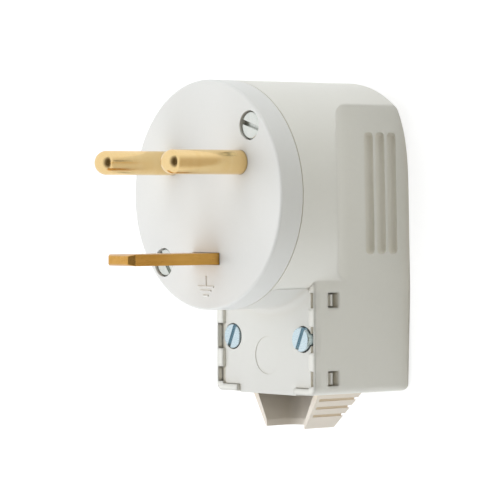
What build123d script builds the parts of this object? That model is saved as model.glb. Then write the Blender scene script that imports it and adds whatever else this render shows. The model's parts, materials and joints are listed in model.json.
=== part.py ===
from build123d import *
import os
from math import atan2, cos, radians, sin, sqrt, tan

# Three-pin cooker plug with a side cable outlet: two round pins, a flat earth blade and a clamped outlet.
# Millimetres. The plug lies on its flat back: z = 0 is the back plane, z points along the pins, the
# origin is on the axis of the round head, and the cable leaves towards -y.

# Head and housing
head_radius = 28.0
plug_height = 50.7          # back plane to pin face
base_depth = 7.0            # pin face to the seam of the housing
wall = 2.2
back_flat_radius = 16.2     # the back is flat inside this radius, and domed outside it
back_dome_radius = 20.0
back_rim_radius = 1.8
flat_half_width = 18.4      # middle of the plug to the side of the outlet box

# Finger grips on the sides
grip_draft = 1.35           # degrees that a grip leans in towards the top of the plug
grip_slope = 49.6           # degrees between a grip's shoulder and the pin axis
grip_corner_height = 24.2   # where the shoulder's line meets the flat
grip_corner_radius = 8.7
groove_width = 2.95
groove_pitch = 3.8
groove_length = 30.0
groove_depth = 1.4
groove_bottom_radius = 0.8
groove_corner_radius = 1.1
groove_count = 3
groove_mid_height = 9.5
groove_mid_y = 0.35

# Outlet box and its cover
outlet_reach = 48.8         # axis of the head to the end of the box
outlet_drop = 18.8          # pin face down to the front of the box's walls
outlet_back_rise = 0.8      # how far the box's back rises towards its end
outlet_end_radius = 1.6
inner_end_radius = 0.6
cover_wall = 2.0
cover_recess = 0.85         # front of the box's walls down to the outlet cover's outer face
cover_half_width = 16.1
cover_fit = 0.12            # gap round the outlet cover
cover_crease_radius = 1.6
tongue_half_width = 10.5
tongue_reach = 0.3          # how far the tongue stands out of the box's end
end_ledge = 1.7             # height of the box's end ledges beside the tongue
ring_radius = 4.65
ring_depth = 0.15
ring_from_end = 9.2

# Snap hooks, windows and pockets
window_width = 3.7
window_depth = 3.35
window_drop = 4.45          # front of the box's walls down to a window
first_window_step = 4.6     # head's side of the outlet box to the first window's middle
last_window_step = 4.0      # end of the outlet box to the last window's middle
hook_thickness = 1.2
hook_fit = 0.25
hook_side_fit = 0.45        # gap between a hook's side and its window
hook_nose = 2.25
hook_catch = 0.95           # height of the nose's slanted side, which catches the window
hook_nose_height = 0.65
hook_lead = 0.5
pocket_lip = 0.4
pocket_depth = 1.6
head_pocket_length = 6.4

# Pins and blade
pin_radius = 2.95
pin_length = 23.4
pin_x = 12.75
pin_screw_step = 8.79       # line of the pins' axes up to the upper face screw's axis
pin_tip_radius = 2.6
pin_seat_radius = 3.4       # a pin's thicker length, inside its boss
pin_seat_drop = 0.1         # pin face down to the end of that length
pin_fit = 0.1
blade_half_width = 5.05
blade_thickness = 2.8
blade_length = 27.2
blade_y = -15.45
blade_tip_chamfer = 1.5
blade_edge_chamfer = 0.3

# Pin base
face_thickness = 3.0
face_edge_radius = 0.7
seam_break = 0.3
boss_depth = 6.2            # pin face to the end of a pin boss
boss_wall = 2.4
spigot_depth = 3.0          # how far the base reaches into the housing
spigot_wall = 2.0
spigot_fit = 0.2
barrier_thickness = 1.6
barrier_depth = 17.0        # pin face to the free edge of the barrier walls
barrier_y = -5.5

# Terminals
collar_radius = 4.0
collar_height = 2.0
block_width = 9.6
block_breadth = 8.4
block_height = 8.0
block_corner = 0.8
tab_half_width = 6.0
tab_depth = 20.4            # pin face to the end of the earth tab
shoulder_half_width = 7.0
shoulder_height = 4.0
earth_screw_depth = 15.4    # pin face to the axis of the earth screw
saddle_thickness = 1.2

# Screws and nuts, one thread size throughout
screw_radius = 2.0
screw_clearance = 0.25
screw_head_height = 2.6
screw_head_edge = 0.35
screw_tip_chamfer = 0.3
slot_width = 1.1
slot_depth = 1.1
terminal_head_radius = 3.5
terminal_screw_reach = 7.5
earth_screw_reach = 5.6
nut_width = 7.0
nut_height = 2.2
nut_fit = 0.1
nut_corner = 0.4
nut_thread_reach = 1.6      # how far a screw passes its nut
screw_end_room = 0.6

# Face screws and their posts
face_screw_margin = 4.74    # rim of the head to a face screw's axis
face_screw_bearing = 45.5   # degrees from +x to the upper screw, with the lower one opposite
face_head_radius = 3.35
face_head_sink = 0.5        # pin face down to the top of a screw head
face_hole_radius = 3.55
face_slot_turns = {"upper": -17.0, "lower": -52.0}
post_radius = 4.5
face_nut_gap = 0.2          # outlet cover's back down to a face nut

# Cord clamp
clamp_x = 13.2
clamp_head_radius = 3.0
clamp_hole_radius = 3.25
clamp_bar_gap = 0.3         # outlet cover's back down to the clamp bar
clamp_head_rise = 0.45      # cover's outer face up to the top of a tight screw's head
clamp_screws_out = {"left": 0.0, "right": 0.6}    # how far each has been turned back
clamp_slot_turn = 66.0
clamp_post_radius = 4.6
clamp_bar_breadth = 8.0
clamp_bar_height = 3.6
clamp_bar_half_length = 15.7
clamp_bar_corner = 1.5
clamp_arch_half_width = 8.0
clamp_arch_depth = 1.8
clamp_tooth = 0.8
clamp_nut_depth = 8.0       # bar's underside down to the bearing side of a clamp nut
cradle_half_width = 8.0
cradle_height = 3.0
cradle_thickness = 1.6
cradle_sag = 1.4
cradle_pitch = 8.0

# Cable guide
guide_drop = 25.4           # pin face down to the guide's open front
guide_reach = 8.9           # how far the guide stands out of the box
guide_root_half_width = 12.5
guide_tip_half_width = 7.4
guide_root_depth = 14.6
guide_tip_depth = 9.5
guide_root_wall = 1.8
guide_tip_wall = 1.1
guide_flange = 1.5
guide_flange_lip = 1.9
guide_fit = 0.15
guide_groove_width = 0.6
guide_groove_depth = 0.7
guide_groove_pitch = 2.0
guide_groove_count = 3
guide_first_groove = 1.4
guide_groove_stop = 1.0     # guide's open front down to where a groove starts
guide_channel_radius = 3.0
guide_flare = 0.6           # how much the channel widens at its mouth
guide_flare_length = 1.6

# Heights and places worked out from the values above
seam = plug_height - base_depth
box_front = plug_height - outlet_drop
cover_front = box_front - cover_recess
cover_back = cover_front - cover_wall
box_inner_half_width = flat_half_width - wall
box_inner_end = outlet_reach - wall
spigot_end = seam - spigot_depth
spigot_radius = head_radius - wall - spigot_fit
boss_end = plug_height - boss_depth
face_back = plug_height - face_thickness
barrier_end = plug_height - barrier_depth
face_seat = plug_height - face_head_sink - screw_head_height
head_chord = sqrt(head_radius**2 - flat_half_width**2)
window_ys = (-head_chord - first_window_step, -outlet_reach + last_window_step)
clamp_y = sum(window_ys) / 2
bar_top = cover_back - clamp_bar_gap
clamp_head_height = cover_wall + clamp_bar_gap + clamp_head_rise
bar_bottom = bar_top - clamp_bar_height
clamp_nut_top = bar_bottom - clamp_nut_depth
face_nut_top = cover_back - face_nut_gap
guide_front = plug_height - guide_drop
window_top = box_front - window_drop
block_bottom = boss_end - collar_height - block_height
blade_face = blade_y - blade_thickness / 2
earth_screw_z = plug_height - earth_screw_depth
face_screw_x = (head_radius - face_screw_margin) * cos(radians(face_screw_bearing))
face_screw_y = (head_radius - face_screw_margin) * sin(radians(face_screw_bearing))
pin_y = face_screw_y - pin_screw_step
pin_places = {"left": (-pin_x, pin_y), "right": (pin_x, pin_y)}
face_screw_places = {"upper": (face_screw_x, face_screw_y), "lower": (-face_screw_x, -face_screw_y)}
clamp_places = {"left": (-clamp_x, clamp_y), "right": (clamp_x, clamp_y)}

# The sides' flats turn about the line where the outlet box meets the round head
draft_x, draft_y = cos(radians(grip_draft)), sin(radians(grip_draft))
grip_foot = Plane(origin=(flat_half_width, -head_chord, 0), x_dir=(draft_x, draft_y, 0),
                  z_dir=(draft_y, -draft_x, 0))
grip_face = Plane(origin=grip_foot.origin, x_dir=(-draft_y, draft_x, 0), z_dir=grip_foot.x_dir)

UP = (Align.CENTER, Align.CENTER, Align.MIN)
DOWN = (Align.CENTER, Align.CENTER, Align.MAX)

os.makedirs("parts", exist_ok=True)


def save(part, name):
    """Name a finished piece and write it."""
    part.label = name
    export_step(part, "parts/" + name + ".step")


def back_profile(inset, rim_radius):
    """Half section of the round head: flat back, domed edge and straight wall, inset by a wall."""
    radius = head_radius - inset
    dome = back_dome_radius - inset
    run = radius - back_flat_radius
    rim_height = back_dome_radius - sqrt(dome**2 - run**2)
    lean = atan2(run, back_dome_radius - rim_height) / 2
    middle = (back_flat_radius + dome * sin(lean), back_dome_radius - dome * cos(lean))
    with BuildSketch() as profile:
        with BuildLine():
            Polyline((radius, rim_height), (radius, seam), (0, seam), (0, inset), (back_flat_radius, inset))
            ThreePointArc((back_flat_radius, inset), middle, (radius, rim_height))
        make_face()
        if rim_radius:
            fillet(profile.vertices().sort_by_distance((radius, rim_height))[0], rim_radius)
    return profile.sketch_local


def grip_cutter(inset):
    """What comes off the right side to leave the grip's flat and its shoulder, inset by a wall."""
    slope = radians(grip_slope)
    reach = 2 * head_radius
    corner_z = grip_corner_height + inset * tan(slope / 2)
    slope_x, slope_z = reach * sin(slope) - inset, reach * cos(slope) + corner_z
    with BuildPart() as cutter:
        with BuildSketch(grip_foot) as outline:
            with BuildLine():
                Polyline((-inset, -reach), (-inset, corner_z), (slope_x, slope_z), (slope_x, -reach),
                         (-inset, -reach))
            make_face()
            fillet(outline.vertices().sort_by_distance((-inset, corner_z))[0], grip_corner_radius + inset)
        extrude(amount=reach, both=True)
    return cutter.part


def housing_form(inset, rim_radius, end_radius):
    """The housing's outside, or the hollow inside it where the inset is a wall."""
    profile = back_profile(inset, rim_radius)
    grip = grip_cutter(inset)
    with BuildPart() as form:
        with BuildSketch(Plane.XZ):
            add(profile)
        revolve(axis=Axis.Z)
        with BuildSketch(Plane.XZ):
            add(profile)
            mirror(about=Plane.YZ)
            Rectangle(2 * (flat_half_width - inset), 2 * box_front, mode=Mode.INTERSECT)
        extrude(amount=outlet_reach - inset)
        with BuildSketch(Plane.YZ):
            with BuildLine():
                Polyline((-head_chord, inset), (-outlet_reach, inset + outlet_back_rise),
                         (-outlet_reach, -outlet_back_rise), (-head_chord, -outlet_back_rise),
                         (-head_chord, inset))
            make_face()
        extrude(amount=flat_half_width, both=True, mode=Mode.SUBTRACT)
        fillet(form.faces().sort_by(Axis.Y)[0].edges().sort_by(Axis.Z)[:-1], end_radius)
        add(grip, mode=Mode.SUBTRACT)
        add(grip.mirror(Plane.YZ), mode=Mode.SUBTRACT)
    return form.part


def grip_grooves():
    """The right grip's finger grooves, as a cutter."""
    with BuildPart() as grooves:
        with BuildSketch(grip_face.offset(-groove_depth)):
            with Locations((head_chord + groove_mid_y, groove_mid_height)):
                with GridLocations(groove_pitch, groove_pitch, 1, groove_count):
                    RectangleRounded(groove_length, groove_width, groove_corner_radius)
        extrude(amount=wall + groove_depth)
        fillet(grooves.edges().group_by(Axis(grip_face.origin, grip_face.z_dir))[0], groove_bottom_radius)
    return grooves.part


def cheese_screw(top, radius, height, reach, turn):
    """Slotted screw: its head hangs below the given plane, and its thread reaches further down."""
    along = Axis(top.origin, top.z_dir)
    with BuildPart(top) as screw:
        Cylinder(radius, height, align=DOWN)
        fillet(screw.edges().filter_by(GeomType.CIRCLE).sort_by(along)[-1], screw_head_edge)
        with Locations((0, 0, -height)):
            Cylinder(screw_radius, reach, align=DOWN)
        chamfer(screw.edges().filter_by(GeomType.CIRCLE).sort_by(along)[0], screw_tip_chamfer)
        with BuildSketch(top):
            Rectangle(3 * radius, slot_width, rotation=turn)
        extrude(amount=-slot_depth, mode=Mode.SUBTRACT)
    return screw.part


def square_nut(bearing):
    """Square nut that hangs below the given plane, its bore as wide as the screw's thread."""
    with BuildPart(bearing) as nut:
        Box(nut_width, nut_width, nut_height, align=DOWN)
        chamfer(nut.edges().filter_by(Axis(bearing.origin, bearing.z_dir)), nut_corner)
        Cylinder(screw_radius, 3 * nut_height, mode=Mode.SUBTRACT)
    return nut.part


def post_bore(bearing, top, radius):
    """A post's screw hole, and the side pocket that its nut slides into."""
    depth = nut_height + nut_thread_reach + screw_end_room
    outer = nut_width / 2 + nut_fit
    with BuildPart(bearing) as bore:
        with Locations((0, 0, -depth)):
            Cylinder(screw_radius + screw_clearance, top - bearing.origin.Z + depth, align=UP)
        with Locations((-outer, 0, 0)):
            Box(outer + radius + wall, 2 * outer, nut_height + nut_fit,
                align=(Align.MIN, Align.CENTER, Align.MAX))
    return bore.part


def line_pin(place):
    """Round pin with its collar and tapped terminal block."""
    x, y = place
    with BuildPart(Plane((x, y, block_bottom))) as pin:
        Box(block_width, block_breadth, block_height, align=UP)
        fillet(pin.edges().filter_by(Axis.Z), block_corner)
        Cylinder(collar_radius, block_height + collar_height, align=UP)
        Cylinder(pin_seat_radius, plug_height - pin_seat_drop - block_bottom, align=UP)
        Cylinder(pin_radius, plug_height + pin_length - block_bottom, align=UP)
        fillet(pin.edges().filter_by(GeomType.CIRCLE).sort_by(Axis.Z)[-1], pin_tip_radius)
        Cylinder(screw_radius, 2 * terminal_screw_reach, mode=Mode.SUBTRACT)
    return pin.part


def wire_clamp(bearing):
    """Clamping plate that hangs below the given plane, with a clear hole for its screw."""
    with BuildPart(bearing) as plate:
        Box(block_width, block_breadth, saddle_thickness, align=DOWN)
        fillet(plate.edges().filter_by(Axis(bearing.origin, bearing.z_dir)), block_corner)
        Cylinder(screw_radius + screw_clearance, 3 * saddle_thickness, mode=Mode.SUBTRACT)
    return plate.part


def guide_size(drop):
    """Half width, depth and wall of the cable guide, that far outside the box's end."""
    share = drop / guide_reach
    half_width = guide_root_half_width + share * (guide_tip_half_width - guide_root_half_width)
    depth = guide_root_depth + share * (guide_tip_depth - guide_root_depth)
    thickness = guide_root_wall + share * (guide_tip_wall - guide_root_wall)
    return half_width, depth, thickness


def guide_outside(drop):
    """Cross section of the cable guide's outside."""
    half_width, depth, thickness = guide_size(drop)
    with BuildSketch(Plane.XZ.offset(outlet_reach + drop)) as section:
        with Locations((0, guide_front)):
            Rectangle(2 * half_width, depth, align=(Align.CENTER, Align.MAX))
    return section.sketch


def guide_channel(drop, flare):
    """Cross section of the cable guide's channel, which runs out through its open front."""
    half_width, depth, thickness = guide_size(drop)
    with BuildSketch(Plane.XZ.offset(outlet_reach + drop)) as section:
        with Locations((0, guide_front - depth + thickness - flare)):
            Rectangle(2 * (half_width - thickness + flare), 2 * guide_root_depth,
                      align=(Align.CENTER, Align.MIN))
        fillet(section.vertices().group_by(Axis.Z)[0], guide_channel_radius)
    return section.sketch


# Hollow of the rear cover, with the screw posts and the cable cradle left standing in it
with BuildPart() as hollow:
    add(housing_form(wall, 0, inner_end_radius))
    with Locations(*face_screw_places.values()):
        Cylinder(post_radius, spigot_end, align=UP, mode=Mode.SUBTRACT)
    with Locations(*clamp_places.values()):
        Cylinder(clamp_post_radius, bar_bottom, align=UP, mode=Mode.SUBTRACT)
    cradle_arc = (cradle_half_width**2 + cradle_sag**2) / (2 * cradle_sag)
    for rib_y in (clamp_y - cradle_pitch / 2, clamp_y + cradle_pitch / 2):
        with BuildSketch(Plane.XZ.offset(-rib_y)):
            with Locations((0, wall)):
                Rectangle(2 * cradle_half_width, cradle_height, align=(Align.CENTER, Align.MIN))
            with Locations((0, wall + cradle_height - cradle_sag + cradle_arc)):
                Circle(cradle_arc, mode=Mode.SUBTRACT)
        extrude(amount=cradle_thickness / 2, both=True, mode=Mode.SUBTRACT)

# Room that the outlet cover takes up in the housing's front
with BuildPart() as cover_room:
    with Locations((0, -outlet_reach + end_ledge - cover_fit, cover_back)):
        Box(2 * (cover_half_width + cover_fit), outlet_reach, plug_height,
            align=(Align.CENTER, Align.MIN, Align.MIN))
    Cylinder(head_radius - wall, 2 * plug_height, align=UP, mode=Mode.SUBTRACT)

# Rear cover
face_nut_planes = {
    name: Plane(origin=(x, y, face_nut_top), x_dir=(-x, -y, 0), z_dir=(0, 0, 1))
    for name, (x, y) in face_screw_places.items()
}
clamp_nut_planes = {
    name: Plane(origin=(x, y, clamp_nut_top), x_dir=(-x, 0, 0), z_dir=(0, 0, 1))
    for name, (x, y) in clamp_places.items()
}
with BuildPart() as rear_cover:
    add(housing_form(0, back_rim_radius, outlet_end_radius))
    add(hollow.part, mode=Mode.SUBTRACT)
    add(cover_room.part, mode=Mode.SUBTRACT)
    for plane in face_nut_planes.values():
        add(post_bore(plane, spigot_end, post_radius), mode=Mode.SUBTRACT)
    for plane in clamp_nut_planes.values():
        add(post_bore(plane, bar_bottom, clamp_post_radius), mode=Mode.SUBTRACT)
    grooves = grip_grooves()
    add(grooves, mode=Mode.SUBTRACT)
    add(grooves.mirror(Plane.YZ), mode=Mode.SUBTRACT)
    with Locations(*[(0, y, window_top) for y in window_ys]):
        Box(3 * flat_half_width, window_width, window_depth, align=DOWN, mode=Mode.SUBTRACT)
    pocket_span = 2 * (flat_half_width - pocket_lip)
    with Locations(*[(0, y, box_front - pocket_depth) for y in window_ys]):
        Box(pocket_span, window_width, pocket_depth, align=UP, mode=Mode.SUBTRACT)
    with Locations((0, clamp_y, box_front - pocket_depth)):
        Box(pocket_span, head_pocket_length, pocket_depth, align=UP, mode=Mode.SUBTRACT)
    with Locations((0, -box_inner_end - wall / 2, guide_front + guide_fit)):
        Box(2 * (guide_root_half_width + guide_fit), 2 * wall, guide_root_depth + 2 * guide_fit,
            align=DOWN, mode=Mode.SUBTRACT)
        Box(2 * (tongue_half_width + cover_fit), 2 * wall, plug_height, align=UP, mode=Mode.SUBTRACT)
save(rear_cover.part, "rear_cover")

# Pin base: what stands behind its face, kept inside the spigot
with BuildPart() as base_inside:
    with BuildSketch(Plane.XY.offset(spigot_end)):
        with Locations(*face_screw_places.values()):
            Circle(post_radius)
    extrude(amount=face_back - spigot_end)
    with BuildSketch(Plane.XY.offset(boss_end)):
        with Locations(*pin_places.values()):
            Circle(pin_seat_radius + pin_fit + boss_wall)
        with Locations((0, blade_y)):
            Rectangle(2 * (blade_half_width + pin_fit + boss_wall),
                      blade_thickness + 2 * (pin_fit + boss_wall))
    extrude(amount=face_back - boss_end)
    with BuildSketch(Plane.XY.offset(barrier_end)):
        with Locations((0, barrier_y)):
            Rectangle(2 * head_radius, barrier_thickness)
            Rectangle(barrier_thickness, 2 * head_radius, align=(Align.CENTER, Align.MIN))
    extrude(amount=face_back - barrier_end)
    Cylinder(spigot_radius - spigot_wall / 2, 2 * plug_height, align=UP, mode=Mode.INTERSECT)

# Pin base
with BuildPart() as pin_base:
    with BuildSketch(Plane.XY.offset(seam)):
        Circle(head_radius)
    extrude(amount=base_depth)
    fillet(pin_base.edges().group_by(Axis.Z)[-1], face_edge_radius)
    chamfer(pin_base.edges().group_by(Axis.Z)[0], seam_break)
    with BuildSketch(Plane.XY.offset(spigot_end)):
        Circle(spigot_radius)
    extrude(amount=spigot_depth)
    with BuildSketch(Plane.XY.offset(spigot_end)):
        Circle(spigot_radius - spigot_wall)
    extrude(amount=face_back - spigot_end, mode=Mode.SUBTRACT)
    add(base_inside.part)
    with Locations(*[(x, y, spigot_end) for x, y in pin_places.values()]):
        Cylinder(pin_seat_radius + pin_fit, plug_height, mode=Mode.SUBTRACT)
    with Locations((0, blade_y, spigot_end)):
        Box(2 * (blade_half_width + pin_fit), blade_thickness + 2 * pin_fit, plug_height, mode=Mode.SUBTRACT)
    with Locations(*[(x, y, face_seat) for x, y in face_screw_places.values()]):
        Cylinder(face_hole_radius, base_depth, align=UP, mode=Mode.SUBTRACT)
        Cylinder(screw_radius + screw_clearance, plug_height, mode=Mode.SUBTRACT)
save(pin_base.part, "pin_base")

# Outlet cover: plate with a tongue, a curved patch that completes the round head, and four snap hooks
hook_outer = box_inner_half_width - hook_fit
hook_inner = hook_outer - hook_thickness
hook_tip = hook_outer + hook_nose
hook_end = window_top - window_depth
with BuildPart() as outlet_cover:
    with BuildSketch(Plane.XY.offset(cover_back)):
        Rectangle(2 * cover_half_width, outlet_reach - end_ledge, align=(Align.CENTER, Align.MAX))
        Rectangle(2 * tongue_half_width, outlet_reach + tongue_reach, align=(Align.CENTER, Align.MAX))
    extrude(amount=cover_wall)
    with BuildSketch(Plane.XY.offset(cover_back)):
        Circle(head_radius)
        Rectangle(2 * cover_half_width, head_radius, align=(Align.CENTER, Align.MAX), mode=Mode.INTERSECT)
    extrude(amount=seam - cover_back)
    patch_foot = outlet_cover.edges().filter_by(GeomType.CIRCLE).filter_by_position(
        Axis.Z, cover_front - cover_fit, cover_front + cover_fit)
    fillet(patch_foot, cover_crease_radius)
    Cylinder(head_radius - wall, 2 * plug_height, align=UP, mode=Mode.SUBTRACT)
    with Locations(*[(x, y, cover_front) for x, y in clamp_places.values()]):
        Cylinder(clamp_hole_radius, 4 * cover_wall, mode=Mode.SUBTRACT)
    with BuildSketch(Plane.XY.offset(cover_front)):
        with Locations((0, -outlet_reach + ring_from_end)):
            Circle(ring_radius)
    extrude(amount=-ring_depth, mode=Mode.SUBTRACT)
    for hook_y in window_ys:
        with BuildSketch(Plane.XZ.offset(-hook_y)):
            with BuildLine():
                Polyline((hook_inner, cover_back), (hook_inner, hook_end), (hook_outer - hook_lead, hook_end),
                         (hook_tip, window_top - hook_catch - hook_nose_height),
                         (hook_tip, window_top - hook_catch), (hook_outer, window_top),
                         (hook_outer, cover_back), (hook_inner, cover_back))
            make_face()
            mirror(about=Plane.YZ)
        extrude(amount=window_width / 2 - hook_side_fit, both=True)
save(outlet_cover.part, "outlet_cover")

# Cable guide: a tapered channel, open towards the pins, with a flange inside the box
with BuildPart() as cable_guide:
    loft(sections=[guide_outside(0), guide_outside(guide_reach)])
    for index in range(guide_groove_count):
        groove_top = guide_first_groove + index * guide_groove_pitch
        half_width, depth, thickness = guide_size(groove_top)
        with BuildSketch(Plane.XZ.offset(outlet_reach + groove_top)):
            with Locations((0, guide_front - depth)):
                Rectangle(4 * half_width, 3 * depth)
            with Locations((0, guide_front - depth + guide_groove_depth)):
                Rectangle(2 * (half_width - guide_groove_depth), 2 * depth, align=(Align.CENTER, Align.MIN),
                          mode=Mode.SUBTRACT)
            with Locations((0, guide_front - guide_groove_stop)):
                Rectangle(4 * half_width, 2 * depth, align=(Align.CENTER, Align.MIN), mode=Mode.SUBTRACT)
        extrude(amount=guide_groove_width, mode=Mode.SUBTRACT)
    with BuildSketch(Plane.XZ.offset(box_inner_end)):
        with Locations((0, guide_front)):
            Rectangle(2 * guide_root_half_width, guide_root_depth, align=(Align.CENTER, Align.MAX))
    extrude(amount=wall)
    with BuildSketch(Plane.XZ.offset(box_inner_end)):
        with Locations((0, guide_front)):
            Rectangle(2 * (guide_root_half_width + guide_flange_lip), guide_root_depth + guide_flange_lip,
                      align=(Align.CENTER, Align.MAX))
    extrude(amount=-guide_flange)
    loft(sections=[guide_channel(-wall - guide_flange, 0), guide_channel(guide_reach, 0)],
         mode=Mode.SUBTRACT)
    flare_start = guide_reach - guide_flare_length
    loft(sections=[guide_channel(flare_start, 0), guide_channel(guide_reach, guide_flare)],
         mode=Mode.SUBTRACT)
save(cable_guide.part, "cable_guide")

# Cord clamp bar, arched over the cable, with two teeth under the arch
arch_radius = (clamp_arch_half_width**2 + clamp_arch_depth**2) / (2 * clamp_arch_depth)
with BuildPart() as cord_clamp_bar:
    with BuildSketch(Plane.XY.offset(bar_bottom)):
        with Locations((0, clamp_y)):
            RectangleRounded(2 * clamp_bar_half_length, clamp_bar_breadth, clamp_bar_corner)
    extrude(amount=clamp_bar_height)
    with BuildSketch(Plane.XZ.offset(-clamp_y)):
        with Locations((0, bar_bottom + clamp_arch_depth - arch_radius)):
            Circle(arch_radius)
    extrude(amount=clamp_bar_breadth, both=True, mode=Mode.SUBTRACT)
    with BuildSketch(Plane.XZ.offset(-clamp_y)):
        with Locations((0, bar_bottom)):
            Rectangle(2 * clamp_arch_half_width, clamp_arch_depth + clamp_tooth,
                      align=(Align.CENTER, Align.MIN))
        with Locations((0, bar_bottom + clamp_arch_depth - clamp_tooth - arch_radius)):
            Circle(arch_radius, mode=Mode.SUBTRACT)
    extrude(amount=clamp_bar_breadth / 4, both=True)
    with BuildSketch(Plane.XZ.offset(-clamp_y)):
        with Locations((0, bar_bottom + clamp_arch_depth - arch_radius)):
            Circle(arch_radius)
    extrude(amount=clamp_bar_breadth / 4 - clamp_tooth, both=True, mode=Mode.SUBTRACT)
    with Locations(*[(x, y, bar_bottom) for x, y in clamp_places.values()]):
        Cylinder(screw_radius + screw_clearance, 4 * clamp_bar_height, mode=Mode.SUBTRACT)
save(cord_clamp_bar.part, "cord_clamp_bar")

# Live pins with their clamping plates and screws
for side, place in pin_places.items():
    save(line_pin(place), "line_pin_" + side)
    bearing = Plane(origin=(*place, block_bottom), x_dir=(1, 0, 0), z_dir=(0, 0, 1))
    save(wire_clamp(bearing), "wire_clamp_" + side)
    screw_top = Plane(origin=(*place, block_bottom - saddle_thickness - screw_head_height),
                      x_dir=(1, 0, 0), z_dir=(0, 0, -1))
    save(cheese_screw(screw_top, terminal_head_radius, screw_head_height, terminal_screw_reach, 0),
         "terminal_screw_" + side)

# Earth blade with its shoulders and tapped tab
with BuildPart() as earth_blade:
    with BuildSketch(Plane.XZ.offset(-blade_y)) as blade_outline:
        with Locations((0, plug_height + blade_length)):
            Rectangle(2 * blade_half_width, blade_length + tab_depth, align=(Align.CENTER, Align.MAX))
        chamfer(blade_outline.vertices().group_by(Axis.Y)[-1], blade_tip_chamfer)
        with Locations((0, boss_end)):
            Rectangle(2 * shoulder_half_width, shoulder_height, align=(Align.CENTER, Align.MAX))
        with Locations((0, plug_height - tab_depth)):
            Rectangle(2 * tab_half_width, tab_depth - boss_depth, align=(Align.CENTER, Align.MIN))
        with Locations((0, earth_screw_z)):
            Circle(screw_radius, mode=Mode.SUBTRACT)
    extrude(amount=blade_thickness / 2, both=True)
    chamfer(earth_blade.faces().sort_by(Axis.Z)[-1].edges(), blade_edge_chamfer)
save(earth_blade.part, "earth_blade")

tab_face = Plane(origin=(0, blade_face, earth_screw_z), x_dir=(1, 0, 0), z_dir=(0, 1, 0))
save(wire_clamp(tab_face), "wire_clamp_earth")
earth_screw_top = Plane(origin=(0, blade_face - saddle_thickness - screw_head_height, earth_screw_z),
                        x_dir=(1, 0, 0), z_dir=(0, -1, 0))
save(cheese_screw(earth_screw_top, terminal_head_radius, screw_head_height, earth_screw_reach, 0),
     "terminal_screw_earth")

# Face screws and clamp screws, with the square nuts that they draw up
face_screw_reach = face_seat - face_nut_top + nut_height + nut_thread_reach
clamp_screw_reach = bar_top - clamp_nut_top + nut_height + nut_thread_reach
for name, place in face_screw_places.items():
    screw_top = Plane((*place, face_seat + screw_head_height))
    turn = face_slot_turns[name]
    save(cheese_screw(screw_top, face_head_radius, screw_head_height, face_screw_reach, turn),
         "face_screw_" + name)
    save(square_nut(face_nut_planes[name]), "face_nut_" + name)
for name, place in clamp_places.items():
    screw_top = Plane((*place, bar_top + clamp_head_height + clamp_screws_out[name]))
    save(cheese_screw(screw_top, clamp_head_radius, clamp_head_height, clamp_screw_reach, clamp_slot_turn),
         "clamp_screw_" + name)
    save(square_nut(clamp_nut_planes[name]), "clamp_nut_" + name)
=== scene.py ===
import json
import math

import bmesh
import bpy
from mathutils import Matrix, Vector


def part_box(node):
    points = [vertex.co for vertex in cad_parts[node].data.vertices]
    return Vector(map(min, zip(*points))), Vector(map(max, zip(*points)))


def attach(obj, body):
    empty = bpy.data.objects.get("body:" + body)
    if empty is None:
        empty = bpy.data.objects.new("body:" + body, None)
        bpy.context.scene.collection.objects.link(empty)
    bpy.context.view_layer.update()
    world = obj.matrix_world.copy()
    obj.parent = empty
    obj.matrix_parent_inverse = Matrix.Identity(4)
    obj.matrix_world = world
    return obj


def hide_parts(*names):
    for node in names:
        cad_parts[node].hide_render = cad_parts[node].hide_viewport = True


# Three-pin cooker plug: moulded off-white shells, turned brass pins, blanked earth blade and plated screws.
# Metres. The plug lies on its flat back and its pins point up, along +z.

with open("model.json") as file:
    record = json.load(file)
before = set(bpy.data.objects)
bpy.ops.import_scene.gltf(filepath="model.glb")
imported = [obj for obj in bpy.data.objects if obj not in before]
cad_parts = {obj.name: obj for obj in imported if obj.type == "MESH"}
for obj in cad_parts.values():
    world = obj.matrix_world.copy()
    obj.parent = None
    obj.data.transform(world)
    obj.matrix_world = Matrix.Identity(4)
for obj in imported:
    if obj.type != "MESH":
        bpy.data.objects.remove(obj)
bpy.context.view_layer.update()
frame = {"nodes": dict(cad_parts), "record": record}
nodes = frame["nodes"]

MM = 0.001

# Sizes read from the frame
base_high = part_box("pin_base")[1]
blade_low, blade_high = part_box("earth_blade")
head_radius = base_high.x
pin_face = base_high.z
head_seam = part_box("rear_cover")[1].z
nut_low, nut_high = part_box("face_nut_upper")
nut_middle = (nut_low + nut_high) / 2
live_pins = {mount["name"]: mount["dims"]["r_mm"] * MM for mount in frame["record"]["mounts"]
             if mount["kind"] == "pin"}

# How shapes are worked: what counts as one point, as flat and as a crisp edge
merge_play = 0.0005 * MM
cut_play = 0.0001 * MM
flat_angle = math.radians(1)
crease_angle = math.radians(28)

# Moulded round between the grips and the round head, as light shows it
grip_edge_radius = 1.5 * MM
grip_edge_reach = 4.0 * MM
rim_shares = (1.0, 0.6)             # of the reach, in from the head's rim: where it starts and is full
seam_shares = (0.2, 0.6)            # of the reach, down from the head's seam
nut_clearance = (6.0 * MM, 8.0 * MM)    # from the upper nut's middle, where the wall is thin

# Grip's shoulder beside the upper nut: a point on it, the way it faces, and the web that closes the nut in
shoulder_point = Vector((20.43, 14.98, 26.65)) * MM
shoulder_facing = Vector((1.0, 0.0245, -1.174)).normalized()
web_middle_y = 16.7 * MM
web_middle_z = 26.95 * MM
web_width = 2.9 * MM
web_height = 2.0 * MM
web_thickness = 0.30 * MM
web_rise = 0.02 * MM
web_corner = 0.45 * web_height
nut_gap = 0.1 * MM                  # between the web and the filed nut

# Turned and blanked ends: a pin's round tip and the blade's thinner end
tip_steps = 12
blade_thinning = 0.30               # share of the blade's thickness that goes by its end
blade_edge = 0.12 * MM

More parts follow.
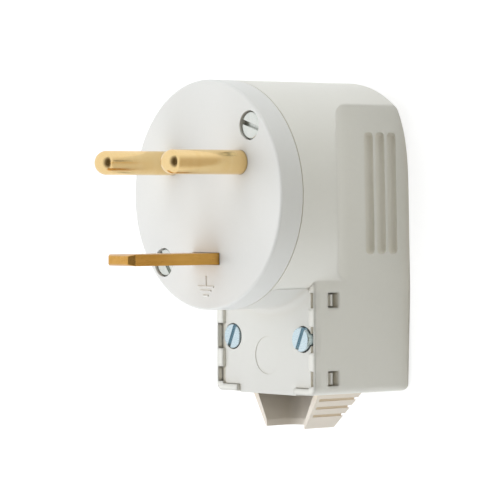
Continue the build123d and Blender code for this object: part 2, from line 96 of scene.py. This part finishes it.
# Lip of the moulded face round a pin's foot
lip_play = 0.03 * MM
lip_outer = 0.6 * MM                # beyond the pin
lip_sink = 0.01 * MM
lip_depth = 0.09 * MM
lip_steps = 64

# Earth symbol, raised on the pin face below the blade
symbol_top_gap = 2.85 * MM
symbol_stem = 2.45 * MM
symbol_bar_drops = (2.55 * MM, 3.55 * MM, 4.75 * MM)
symbol_bar_lengths = (6.0 * MM, 4.0 * MM, 2.0 * MM)
symbol_line = 0.45 * MM
symbol_height = 0.25 * MM
symbol_edge = 0.6 * symbol_height

# Surfaces: the useful middle of a noise, how open a recess has to be, and samples for edges and recesses
noise_middle = (0.3, 0.7)
recess_opening = (0.35, 0.9)
recess_samples = 6
edge_samples = 4

# Moulded surface: patterns in cells for each metre
flow_cells = 45.0
speck_cells = 900.0
grain_cells = 2500.0
grain_depth = 0.004 * MM
flow_share = 0.75                   # of the mottling, and the rest is specks
moulded_roughness = 0.42
moulded_roughness_play = 0.05
moulded_edge = 0.12 * MM
moulded_ior = 1.5
# Painted warm bounce light: recesses within this reach of their own walls take the tint below multiplied
# into their colour, stronger in the cable guide
deep_recess = 5.0 * MM
painted_bounce_tint = (1.0, 0.97, 0.93)     # tint that light takes on between pale walls
painted_guide_bounce_tint = (1.05, 0.98, 0.86)

# Worked metal: patterns in cells for each metre
line_cells = 4000.0
band_cells = 700.0
patch_cells = 160.0
line_depth = 0.0005 * MM
band_share = 0.55                   # of the tarnish, and the rest is patches
metal_roughness = 0.25
metal_roughness_play = 0.04
metal_edge = 0.08 * MM
# Painted shade: metal colour darkened where its own shape closes it in, within a slot's width
slot_width = 0.9 * MM
slot_shade = 0.55

# Camera, as the photograph was taken: angles in degrees, focal length in pixels of its 500 pixel frame
frame_pixels = 500
focal_pixels = 3100.6
sensor_width = 36.0
view_bearing = 49.64                # from the pins' direction towards +x
view_height = 0.967                 # above the plug's cross plane
view_roll = -0.156
view_distance = 751.7 * MM
view_near = 0.05
view_far = 20.0
face_right = -10.736 * MM           # pin face's middle from the line of sight, to the right and up
face_up = 13.353 * MM

# Soft lamps round the plug: place and side in metres, power in watts
lamp_aim = Vector((0.0, -0.01, 0.03))
lamps = {
    "front_lamp": {"place": (-0.42, -0.16, 0.87), "side": 1.6, "power": 12.5, "colour": (0.985, 0.99, 1.0)},
    "top_lamp": {"place": (0.0, 0.85, 0.25), "side": 0.8, "power": 4.0, "colour": (0.98, 1.0, 1.02)},
    "low_lamp": {"place": (0.0, -0.85, 0.16), "side": 0.6, "power": 3.0, "colour": (0.96, 0.99, 1.06)},
    "side_lamp": {"place": (0.90, 0.0, 0.25), "side": 0.8, "power": 1.2, "colour": (1.0, 0.92, 0.70)},
}

# Studio round the plug: its even light, and the white that the camera sees
studio_light = 0.19
studio_light_colour = (0.95, 1.0, 1.02, 1.0)
white = (1.0, 1.0, 1.0, 1.0)
floor_side = 6.0
floor_sink = 0.05 * MM
floor_paint = (0.85, 0.85, 0.84, 1.0)
floor_shadow_paint = (0.45, 0.45, 0.45, 1.0)
floor_glow = 0.75

# Painted reflections that polished metal shows and that light nothing: the studio with a darker side, angles
# in degrees from the middle of its darker side, and a darker table on the floor
room_dark_side = Vector((0.93, 0.0, 0.37)).normalized()
room_dark_inner = 14.0
room_dark_outer = 58.0
room_dark_squash = (1.0, 0.75, 1.0)     # the darker side is taller than it is wide
painted_reflection_dark = (0.09, 0.07, 0.04, 1.0)
painted_table_reflection = (0.58, 0.52, 0.42, 1.0)
room_table_middle = (110 * MM, -10 * MM, 0.0)
room_table_inner = 35 * MM
room_table_outer = 130 * MM


def connect(tree, value, socket):
    """Feed a socket from another socket, or set it to a plain value."""
    if isinstance(value, bpy.types.NodeSocket):
        tree.links.new(value, socket)
    else:
        socket.default_value = value


def math_node(tree, operation, first, second):
    """A math node on two sockets or numbers."""
    node = tree.nodes.new("ShaderNodeMath")
    node.operation = operation
    connect(tree, first, node.inputs[0])
    connect(tree, second, node.inputs[1])
    return node.outputs[0]


def vector_node(tree, operation, first, second=(0.0, 0.0, 0.0)):
    """A vector math node: a length, a distance or a dot product gives a number, the rest a vector."""
    node = tree.nodes.new("ShaderNodeVectorMath")
    node.operation = operation
    connect(tree, first, node.inputs[0])
    connect(tree, second, node.inputs[1])
    return node.outputs["Value" if operation in ("LENGTH", "DISTANCE", "DOT_PRODUCT") else "Vector"]


def weighted(tree, first, second, share):
    """Two patterns added, the first with its share and the second with the rest."""
    return math_node(tree, "ADD", math_node(tree, "MULTIPLY", first, share),
                     math_node(tree, "MULTIPLY", second, 1.0 - share))


def blend_colour(tree, factor, first, second, mode="MIX"):
    """A mix of two colours, each a socket or four numbers."""
    node = tree.nodes.new("ShaderNodeMix")
    node.data_type = "RGBA"
    node.blend_type = mode
    # Of the node's sockets 0 takes the factor, 6 and 7 the colours, and 2 gives the mixed colour
    for value, index in ((factor, 0), (first, 6), (second, 7)):
        connect(tree, value, node.inputs[index])
    return node.outputs[2]


def darken(tree, colour, level):
    """A colour multiplied by a grey level."""
    node = tree.nodes.new("ShaderNodeVectorMath")
    node.operation = "SCALE"
    tree.links.new(colour, node.inputs[0])
    tree.links.new(level, node.inputs["Scale"])
    return node.outputs[0]


def spread(tree, value, given, made):
    """A value's given range moved to another one, and held level beyond it."""
    node = tree.nodes.new("ShaderNodeMapRange")
    labels = ("From Min", "From Max", "To Min", "To Max")
    tree.links.new(value, node.inputs["Value"])
    for label, end in zip(labels, (*given, *made)):
        connect(tree, end, node.inputs[label])
    return node.outputs["Result"]


def ramp(tree, value, start, end):
    """Zero up to one value and one from another on, smooth between them."""
    node = tree.nodes.new("ShaderNodeMapRange")
    node.interpolation_type = "SMOOTHSTEP"
    tree.links.new(value, node.inputs["Value"])
    node.inputs["From Min"].default_value = start
    node.inputs["From Max"].default_value = end
    return node.outputs["Result"]


def object_place(tree):
    """Where a point lies on its own piece."""
    return tree.nodes.new("ShaderNodeTexCoord").outputs["Object"]


def noise(tree, vector, cells, detail=2.0, roughness=0.5):
    """A noise texture on given coordinates."""
    node = tree.nodes.new("ShaderNodeTexNoise")
    node.inputs["Detail"].default_value = detail
    node.inputs["Roughness"].default_value = roughness
    tree.links.new(vector, node.inputs["Vector"])
    connect(tree, cells, node.inputs["Scale"])
    return node.outputs["Fac"]


def recess_shade(tree, distance, darkest):
    """How light a surface stays where its own shape closes it in: one in the open, less in a slot."""
    closed = tree.nodes.new("ShaderNodeAmbientOcclusion")
    closed.samples = recess_samples
    connect(tree, distance, closed.inputs["Distance"])
    return spread(tree, closed.outputs["AO"], recess_opening, (darkest, 1.0))


def worked_normal(tree, edge, depth, height):
    """Normals with the edges softened over a radius and a fine pattern pressed in."""
    bevel = tree.nodes.new("ShaderNodeBevel")
    bevel.samples = edge_samples
    tree.links.new(edge, bevel.inputs["Radius"])
    bump = tree.nodes.new("ShaderNodeBump")
    bump.inputs["Strength"].default_value = 1.0
    tree.links.new(depth, bump.inputs["Distance"])
    tree.links.new(height, bump.inputs["Height"])
    tree.links.new(bevel.outputs["Normal"], bump.inputs["Normal"])
    return bump.outputs["Normal"]


def surface_group(name, inputs):
    """An empty shader group with named inputs that puts out a colour, a roughness and a normal."""
    group = bpy.data.node_groups.new(name, "ShaderNodeTree")
    for label, kind, value in inputs:
        socket = group.interface.new_socket(name=label, in_out="INPUT", socket_type=kind)
        socket.default_value = value
    for label, kind in (("Colour", "NodeSocketColor"), ("Roughness", "NodeSocketFloat"),
                        ("Normal", "NodeSocketVector")):
        group.interface.new_socket(name=label, in_out="OUTPUT", socket_type=kind)
    given = group.nodes.new("NodeGroupInput").outputs
    made = group.nodes.new("NodeGroupOutput").inputs
    return group, given, made


def moulded_group():
    """Moulded plastic: fine spark-eroded grain, faint flow mottling, painted warm bounce light in recesses
    and softened edges.
    """
    group, given, made = surface_group("moulded_surface", [
        ("Colour", "NodeSocketColor", (0.8, 0.8, 0.8, 1.0)),
        ("Shade", "NodeSocketColor", (0.75, 0.75, 0.75, 1.0)),
        ("Grain Scale", "NodeSocketFloat", grain_cells),
        ("Grain Depth", "NodeSocketFloat", grain_depth),
        ("Roughness", "NodeSocketFloat", moulded_roughness),
        ("Edge", "NodeSocketFloat", moulded_edge),
        ("Deep", "NodeSocketFloat", deep_recess),
        ("Painted Bounce", "NodeSocketColor", (*painted_bounce_tint, 1.0)),
    ])
    place = object_place(group)
    flow = noise(group, place, flow_cells, detail=3.0)
    speck = noise(group, place, speck_cells)
    grain = noise(group, place, given["Grain Scale"], roughness=0.6)
    mottle = spread(group, weighted(group, flow, speck, flow_share), noise_middle, (0.0, 1.0))
    colour = blend_colour(group, mottle, given["Colour"], given["Shade"])
    # Painted bounce light: the colour takes the tint where the piece's own shape closes it in
    bounce_tinted = blend_colour(group, 1.0, colour, given["Painted Bounce"], "MULTIPLY")
    colour = blend_colour(group, recess_shade(group, given["Deep"], 0.0), bounce_tinted, colour)
    uneven = spread(group, grain, noise_middle, (-moulded_roughness_play, moulded_roughness_play))
    group.links.new(colour, made["Colour"])
    group.links.new(math_node(group, "ADD", given["Roughness"], uneven), made["Roughness"])
    group.links.new(worked_normal(group, given["Edge"], given["Grain Depth"], grain), made["Normal"])
    return group


def metal_group():
    """Worked metal: fine drawn lines along one direction, faint tarnish, painted shade in slots and softened
    edges.
    """
    group, given, made = surface_group("worked_metal", [
        ("Colour", "NodeSocketColor", (0.8, 0.6, 0.3, 1.0)),
        ("Tarnish", "NodeSocketColor", (0.6, 0.4, 0.2, 1.0)),
        ("Stretch", "NodeSocketVector", (1.0, 1.0, 0.05)),
        ("Line Scale", "NodeSocketFloat", line_cells),
        ("Line Depth", "NodeSocketFloat", line_depth),
        ("Roughness", "NodeSocketFloat", metal_roughness),
        ("Edge", "NodeSocketFloat", metal_edge),
    ])
    place = object_place(group)
    stretched = vector_node(group, "MULTIPLY", place, given["Stretch"])
    lines = noise(group, stretched, given["Line Scale"], detail=3.0, roughness=0.6)
    bands = noise(group, stretched, band_cells, detail=3.0, roughness=0.6)
    patches = noise(group, place, patch_cells, detail=3.0, roughness=0.55)
    tarnish = spread(group, weighted(group, bands, patches, band_share), noise_middle, (0.0, 1.0))
    colour = blend_colour(group, tarnish, given["Colour"], given["Tarnish"])
    uneven = spread(group, lines, noise_middle, (-metal_roughness_play, metal_roughness_play))
    # Painted shade in slots and recesses, multiplied into the colour
    group.links.new(darken(group, colour, recess_shade(group, slot_width, slot_shade)), made["Colour"])
    group.links.new(math_node(group, "ADD", given["Roughness"], uneven), made["Roughness"])
    group.links.new(worked_normal(group, given["Edge"], given["Line Depth"], lines), made["Normal"])
    return group


moulded = moulded_group()
worked = metal_group()


def surface_material(name, group, settings, metallic):
    """A Principled material that takes its colour, roughness and normal from a shared group."""
    material = bpy.data.materials.new(name)
    material.use_nodes = True
    tree = material.node_tree
    shader = tree.nodes["Principled BSDF"]
    shader.inputs["Metallic"].default_value = metallic
    surface = tree.nodes.new("ShaderNodeGroup")
    surface.name = "surface"
    surface.node_tree = group
    for label, value in settings.items():
        surface.inputs[label].default_value = value
    tree.links.new(surface.outputs["Colour"], shader.inputs["Base Color"])
    tree.links.new(surface.outputs["Roughness"], shader.inputs["Roughness"])
    tree.links.new(surface.outputs["Normal"], shader.inputs["Normal"])
    return material


def plastic(name, colour, shade, glow=painted_bounce_tint):
    """Off-white moulding in its own shade, with painted warm bounce light of the given tint in its recesses.
    """
    settings = {"Colour": (*colour, 1.0), "Shade": (*shade, 1.0), "Painted Bounce": (*glow, 1.0)}
    material = surface_material(name, moulded, settings, metallic=0.0)
    material.node_tree.nodes["Principled BSDF"].inputs["IOR"].default_value = moulded_ior
    return material


def housing_plastic(colour, shade):
    """Housing moulding, with widely rounded edges where its grips run out into the round head."""
    material = plastic("housing_plastic", colour, shade)
    tree = material.node_tree
    place = object_place(tree)
    from_axis = vector_node(tree, "LENGTH", vector_node(tree, "MULTIPLY", place, (1.0, 1.0, 0.0)))
    upward = vector_node(tree, "DOT_PRODUCT", place, (0.0, 0.0, 1.0))
    from_nut = vector_node(tree, "DISTANCE", place, nut_middle)
    near_rim = ramp(tree, from_axis, *(head_radius - share * grip_edge_reach for share in rim_shares))
    below_seam = ramp(tree, upward, *(head_seam - share * grip_edge_reach for share in seam_shares))
    thick_wall = ramp(tree, from_nut, *nut_clearance)
    wide = math_node(tree, "MULTIPLY", math_node(tree, "MULTIPLY", near_rim, below_seam), grip_edge_radius)
    wide = math_node(tree, "MULTIPLY", wide, thick_wall)
    edge = math_node(tree, "MAXIMUM", wide, moulded_edge)
    tree.links.new(edge, tree.nodes["surface"].inputs["Edge"])
    return material


def metal(name, colour, tarnish, stretch, roughness):
    """Metal in its own colour, with its lines drawn out along the axes where the stretch is small."""
    settings = {"Colour": (*colour, 1.0), "Tarnish": (*tarnish, 1.0)}
    settings.update({"Stretch": stretch, "Roughness": roughness})
    return surface_material(name, worked, settings, metallic=1.0)


# Mouldings by lighter and darker shade. Metals by colour, tarnish, stretch along x, y and z, and roughness.
finishes = {
    "housing_plastic": housing_plastic((0.835, 0.825, 0.77), (0.805, 0.795, 0.74)),
    "base_plastic": plastic("base_plastic", (0.80, 0.80, 0.78), (0.775, 0.775, 0.75)),
    "cover_plastic": plastic("cover_plastic", (0.745, 0.74, 0.705), (0.725, 0.72, 0.68)),
    # Guide moulding warmer than the others, partly its own tone and partly painted warm bounce light from
    # inside its channel
    "guide_plastic": plastic("guide_plastic", (0.87, 0.80, 0.71), (0.84, 0.77, 0.68), painted_guide_bounce_tint),
    "clamp_plastic": plastic("clamp_plastic", (0.72, 0.70, 0.66), (0.68, 0.66, 0.62)),
    "pin_brass": metal("pin_brass", (0.93, 0.705, 0.37), (0.88, 0.63, 0.29), (0.05, 0.05, 1.0), 0.20),
    "blade_brass": metal("blade_brass", (0.77, 0.44, 0.12), (0.60, 0.32, 0.07), (1.0, 1.0, 0.06), 0.30),
    "terminal_steel": metal("terminal_steel", (0.62, 0.65, 0.68), (0.50, 0.53, 0.57), (1.0, 0.2, 1.0), 0.30),
    "nickel_steel": metal("nickel_steel", (0.78, 0.80, 0.77), (0.66, 0.70, 0.66), (1.0, 0.15, 1.0), 0.24),
    "zinc_steel": metal("zinc_steel", (0.68, 0.80, 0.86), (0.56, 0.71, 0.78), (0.15, 1.0, 1.0), 0.28),
}
for node in nodes.values():
    current = node.data.materials[0].name.split(".")[0]
    node.data.materials[0] = finishes[current]


def mesh_object(name, shape, material):
    """A new object at the origin, made from a worked shape in one material."""
    mesh = bpy.data.meshes.new(name)
    shape.to_mesh(mesh)
    shape.free()
    mesh.materials.append(material)
    thing = bpy.data.objects.new(name, mesh)
    bpy.context.scene.collection.objects.link(thing)
    return thing


def finished_piece(name, shape, slot):
    """A new piece that rides on the plug and takes a slot's finish."""
    piece = mesh_object(name, shape, finishes[slot])
    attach(piece, "root")
    return piece


def whole(shape):
    """Everything in a shape, as an operator takes it."""
    return shape.verts[:] + shape.edges[:] + shape.faces[:]


def copied_node(name):
    """A node's shape as joined faces, ready to be worked on."""
    shape = bmesh.new()
    shape.from_mesh(nodes[name].data)
    bmesh.ops.remove_doubles(shape, verts=shape.verts, dist=merge_play)
    return shape


def flat_faced_node(name):
    """A node's shape with each flat side as a single face."""
    shape = copied_node(name)
    bmesh.ops.dissolve_limit(shape, angle_limit=flat_angle, verts=shape.verts, edges=shape.edges)
    return shape


def cut_along(shape, point, facing, keep_outer=False):
    """Cut a shape along a plane, take off what lies beyond unless that is kept, and give the new edges."""
    cut = bmesh.ops.bisect_plane(shape, geom=whole(shape), dist=cut_play, plane_co=point, plane_no=facing,
                                 clear_outer=not keep_outer)["geom_cut"]
    return [part for part in cut if isinstance(part, bmesh.types.BMEdge)]


def round_over(shape, edges, size, steps):
    """Edges rounded over in a few steps."""
    bmesh.ops.bevel(shape, geom=edges, offset=size, affect="EDGES", segments=steps, profile=0.5, material=-1)


def smooth_curves(shape):
    """Smooth shading on curved sides, with the edges kept crisp."""
    for face in shape.faces:
        face.smooth = True
    for edge in shape.edges:
        edge.smooth = len(edge.link_faces) == 2 and edge.calc_face_angle(0.0) < crease_angle


def earth_symbol():
    """Stem and three shorter and shorter bars, raised from the pin face, each with rounded upper edges."""
    top = blade_low.y - symbol_top_gap
    strokes = [(top - symbol_stem / 2, symbol_line, symbol_stem)]
    for drop, length in zip(symbol_bar_drops, symbol_bar_lengths):
        strokes.append((top - drop, length, symbol_line))
    shape = bmesh.new()
    for middle_y, width, length in strokes:
        size = Matrix.Diagonal((width, length, 2 * symbol_height, 1.0))
        place = Matrix.Translation((0, middle_y, pin_face))
        bmesh.ops.create_cube(shape, size=1.0, matrix=place @ size)
    upper = [edge for edge in shape.edges if all(vert.co.z > pin_face for vert in edge.verts)]
    round_over(shape, upper, symbol_edge, steps=3)
    finished_piece("earth_symbol", shape, "base_plastic")


def trimmed_nut():
    """The upper face nut with its outermost corner filed back to clear the grip's shoulder."""
    shape = flat_faced_node("face_nut_upper")
    rim = cut_along(shape, shoulder_point - shoulder_facing * (web_thickness + nut_gap), shoulder_facing)
    bmesh.ops.contextual_create(shape, geom=rim)
    bmesh.ops.recalc_face_normals(shape, faces=shape.faces)
    smooth_curves(shape)
    nut = finished_piece("filed_face_nut", shape, "zinc_steel")
    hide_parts("face_nut_upper")


def shoulder_web():
    """Thin web of the housing, flush in the grip's shoulder, that closes in the upper nut's corner."""
    lean = shoulder_facing.yz.dot(Vector((web_middle_y, web_middle_z)) - shoulder_point.yz)
    middle = Vector((shoulder_point.x - lean / shoulder_facing.x, web_middle_y, web_middle_z))
    sunk = middle + shoulder_facing * (web_rise - web_thickness / 2)
    sideways = shoulder_facing.cross(Vector((0, 0, 1))).normalized()
    turned = Matrix((sideways, shoulder_facing.cross(sideways), shoulder_facing)).transposed().to_4x4()
    size = Matrix.Diagonal((web_width, web_height, web_thickness, 1.0))
    shape = bmesh.new()
    bmesh.ops.create_cube(shape, size=1.0, matrix=size)
    upright = [edge for edge in shape.edges if edge.verts[0].co.z * edge.verts[1].co.z < 0]
    round_over(shape, upright, web_corner, steps=6)
    bmesh.ops.transform(shape, matrix=Matrix.Translation(sunk) @ turned, verts=shape.verts)
    smooth_curves(shape)
    finished_piece("shoulder_web", shape, "housing_plastic")


def thin_ended_blade():
    """The earth blade, its end thinned over the length of its corner chamfers and its edges eased."""
    shape = flat_faced_node("earth_blade")
    end = [vert for vert in shape.verts if vert.co.z > blade_high.z - blade_edge]
    widest = max(vert.co.x for vert in shape.verts if vert.co.z > pin_face)
    lead = max(vert.co.z for vert in shape.verts if vert.co.x > widest - blade_edge)
    cut_along(shape, (0, 0, lead), (0, 0, 1), keep_outer=True)
    middle = (max(vert.co.y for vert in end) + min(vert.co.y for vert in end)) / 2
    for vert in shape.verts:
        along = max(0.0, (vert.co.z - lead) / (blade_high.z - lead))
        vert.co.y = middle + (vert.co.y - middle) * (1 - blade_thinning * along)
    corners = [edge for edge in shape.edges if max(vert.co.z for vert in edge.verts) > pin_face
               and edge.calc_face_angle(0.0) > crease_angle]
    round_over(shape, corners, blade_edge, steps=2)
    for face in shape.faces:
        face.smooth = False
    blade = finished_piece("blanked_blade", shape, "blade_brass")
    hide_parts("earth_blade")


def round_ended_pin(name, radius):
    """A live pin with its end turned to a full half round."""
    shape = copied_node(name)
    low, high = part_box(name)
    middle = (low + high) / 2
    rim = cut_along(shape, (0, 0, high.z - radius), (0, 0, 1))
    axis = Matrix.Translation((-middle.x, -middle.y, 0))
    for step in range(1, tip_steps + 1):
        before, after = (math.pi / 2 * turn / tip_steps for turn in (step - 1, step))
        grown = bmesh.ops.extrude_edge_only(shape, edges=rim)["geom"]
        verts = [part for part in grown if isinstance(part, bmesh.types.BMVert)]
        rim = [part for part in grown if isinstance(part, bmesh.types.BMEdge) and part.is_boundary]
        share = math.cos(after) / math.cos(before)
        bmesh.ops.scale(shape, vec=(share, share, 1), space=axis, verts=verts)
        bmesh.ops.translate(shape, vec=(0, 0, radius * (math.sin(after) - math.sin(before))), verts=verts)
    bmesh.ops.pointmerge(shape, verts=verts, merge_co=(middle.x, middle.y, high.z))
    bmesh.ops.recalc_face_normals(shape, faces=shape.faces)
    smooth_curves(shape)
    pin = finished_piece("turned_" + name, shape, "pin_brass")
    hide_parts(name)


def face_lip(name, radius):
    """Flush lip of the moulding that closes the face round a pin's foot."""
    low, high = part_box(name)
    middle = (low + high) / 2
    out = radius + (lip_outer + lip_play) / 2
    section = Vector((middle.x + out, middle.y, pin_face - lip_sink - lip_depth / 2))
    size = Matrix.Diagonal((lip_outer - lip_play, 1, lip_depth, 1))
    upright = Matrix.Rotation(math.radians(90), 4, "X")
    shape = bmesh.new()
    bmesh.ops.create_grid(shape, x_segments=1, y_segments=1, size=0.5,
                          matrix=Matrix.Translation(section) @ size @ upright)
    bmesh.ops.delete(shape, geom=shape.faces[:], context="FACES_ONLY")
    bmesh.ops.spin(shape, geom=shape.verts[:] + shape.edges[:], cent=middle, axis=(0, 0, 1),
                   angle=math.radians(360), steps=lip_steps, use_merge=True)
    bmesh.ops.remove_doubles(shape, verts=shape.verts, dist=merge_play)
    bmesh.ops.recalc_face_normals(shape, faces=shape.faces)
    smooth_curves(shape)
    finished_piece("face_lip_" + name.split("_")[-1], shape, "base_plastic")


earth_symbol()
trimmed_nut()
shoulder_web()
thin_ended_blade()
for pin_name, pin_radius in live_pins.items():
    round_ended_pin(pin_name, pin_radius)
    face_lip(pin_name, pin_radius)


def mix_shader(tree, factor, first, second):
    """The first shader where the factor is zero and the second where it is one."""
    node = tree.nodes.new("ShaderNodeMixShader")
    for value, socket in zip((factor, first, second), node.inputs):
        tree.links.new(value, socket)
    return node.outputs[0]


def shader_by_ray(tree, lighting, reflected, seen):
    """A shader for matt surfaces, one for reflections in metal and one for the camera and through glass."""
    rays = tree.nodes.new("ShaderNodeLightPath").outputs
    to_camera = math_node(tree, "MAXIMUM", rays["Is Camera Ray"], rays["Is Transmission Ray"])
    return mix_shader(tree, to_camera, mix_shader(tree, rays["Is Glossy Ray"], lighting, reflected), seen)


def bright_shader(tree, kind, colour, strength=1.0):
    """An emission or a background, its colour a socket or four numbers."""
    node = tree.nodes.new(kind)
    connect(tree, colour, node.inputs["Color"])
    node.inputs["Strength"].default_value = strength
    return node.outputs[0]


def matt_shader(tree, colour):
    """Plain matt paint."""
    node = tree.nodes.new("ShaderNodeBsdfDiffuse")
    node.inputs["Color"].default_value = colour
    return node.outputs[0]


def floor_white():
    """Floor paint: white to the camera with the plug's soft shadow, a painted reflection of a darker table
    in polished metal.
    """
    material = bpy.data.materials.new("floor_white")
    material.use_nodes = True
    tree = material.node_tree
    tree.nodes.clear()
    seen = tree.nodes.new("ShaderNodeAddShader")
    tree.links.new(matt_shader(tree, floor_shadow_paint), seen.inputs[0])
    tree.links.new(bright_shader(tree, "ShaderNodeEmission", white, floor_glow), seen.inputs[1])
    # Painted reflection: glossy rays see a darker table on the floor round the plug, which lights nothing
    from_table = vector_node(tree, "DISTANCE", object_place(tree), room_table_middle)
    beyond = ramp(tree, from_table, room_table_inner, room_table_outer)
    table = bright_shader(tree, "ShaderNodeEmission", blend_colour(tree, beyond, painted_table_reflection, white))
    surface = shader_by_ray(tree, matt_shader(tree, floor_paint), table, seen.outputs[0])
    tree.links.new(surface, tree.nodes.new("ShaderNodeOutputMaterial").inputs["Surface"])
    return material


def studio_floor():
    """Wide pale floor just below the plug's flat back."""
    shape = bmesh.new()
    bmesh.ops.create_grid(shape, x_segments=1, y_segments=1, size=floor_side / 2)
    bmesh.ops.translate(shape, vec=(0, 0, -floor_sink), verts=shape.verts)
    floor = mesh_object("studio_floor", shape, floor_white())


def studio_world():
    """Even dim surroundings: white to the camera, and a painted reflection in polished metal of a white room
    with a darker side.
    """
    world = bpy.data.worlds.new("studio")
    world.use_nodes = True
    tree = world.node_tree
    tree.nodes.clear()
    direction = tree.nodes.new("ShaderNodeTexCoord").outputs["Generated"]
    evened = vector_node(tree, "NORMALIZE", vector_node(tree, "MULTIPLY", direction, room_dark_squash))
    toward = vector_node(tree, "DOT_PRODUCT", evened, room_dark_side)
    edges = (math.cos(math.radians(angle)) for angle in (room_dark_outer, room_dark_inner))
    dark = ramp(tree, toward, *edges)
    lighting = bright_shader(tree, "ShaderNodeBackground", studio_light_colour, studio_light)
    # Painted reflection: glossy rays see a darker side of the room that lights nothing
    room = bright_shader(tree, "ShaderNodeBackground", blend_colour(tree, dark, white, painted_reflection_dark))
    seen = bright_shader(tree, "ShaderNodeBackground", white)
    surface = shader_by_ray(tree, lighting, room, seen)
    tree.links.new(surface, tree.nodes.new("ShaderNodeOutputWorld").inputs["Surface"])
    bpy.context.scene.world = world


def soft_box(name, place, side, power, colour):
    """Square area lamp, turned to the plug and kept out of reflections."""
    lamp = bpy.data.lights.new(name, "AREA")
    lamp.shape = "SQUARE"
    lamp.size = side
    lamp.energy = power
    lamp.color = colour
    holder = bpy.data.objects.new(name, lamp)
    holder.location = place
    holder.rotation_mode = "QUATERNION"
    holder.rotation_quaternion = (lamp_aim - Vector(place)).to_track_quat("-Z", "Y")
    holder.visible_glossy = False
    bpy.context.scene.collection.objects.link(holder)


def photo_camera():
    """The photograph's camera: its axes from the three angles, its place from the pin face's offset."""
    bearing, height, roll = (math.radians(angle) for angle in (view_bearing, view_height, view_roll))
    across, along = math.sin(bearing), math.cos(bearing)
    back = Vector((across * math.cos(height), math.sin(height), along * math.cos(height)))
    level_right = Vector((0, 1, 0)).cross(back).normalized()
    level_up = back.cross(level_right)
    right = math.cos(roll) * level_right + math.sin(roll) * level_up
    up = math.cos(roll) * level_up - math.sin(roll) * level_right
    data = bpy.data.cameras.new("photo_camera")
    data.sensor_width = sensor_width
    data.lens = focal_pixels / frame_pixels * sensor_width
    data.clip_start = view_near
    data.clip_end = view_far
    camera = bpy.data.objects.new("photo_camera", data)
    place = Vector((0, 0, pin_face)) + view_distance * back - face_right * right - face_up * up
    turned = Matrix((right, up, back)).transposed().to_4x4()
    camera.matrix_world = Matrix.Translation(place) @ turned
    bpy.context.scene.collection.objects.link(camera)
    bpy.context.scene.camera = camera


studio_floor()
for lamp_name, lamp_values in lamps.items():
    soft_box(lamp_name, **lamp_values)
studio_world()
photo_camera()
bpy.context.scene.view_settings.view_transform = "Standard"
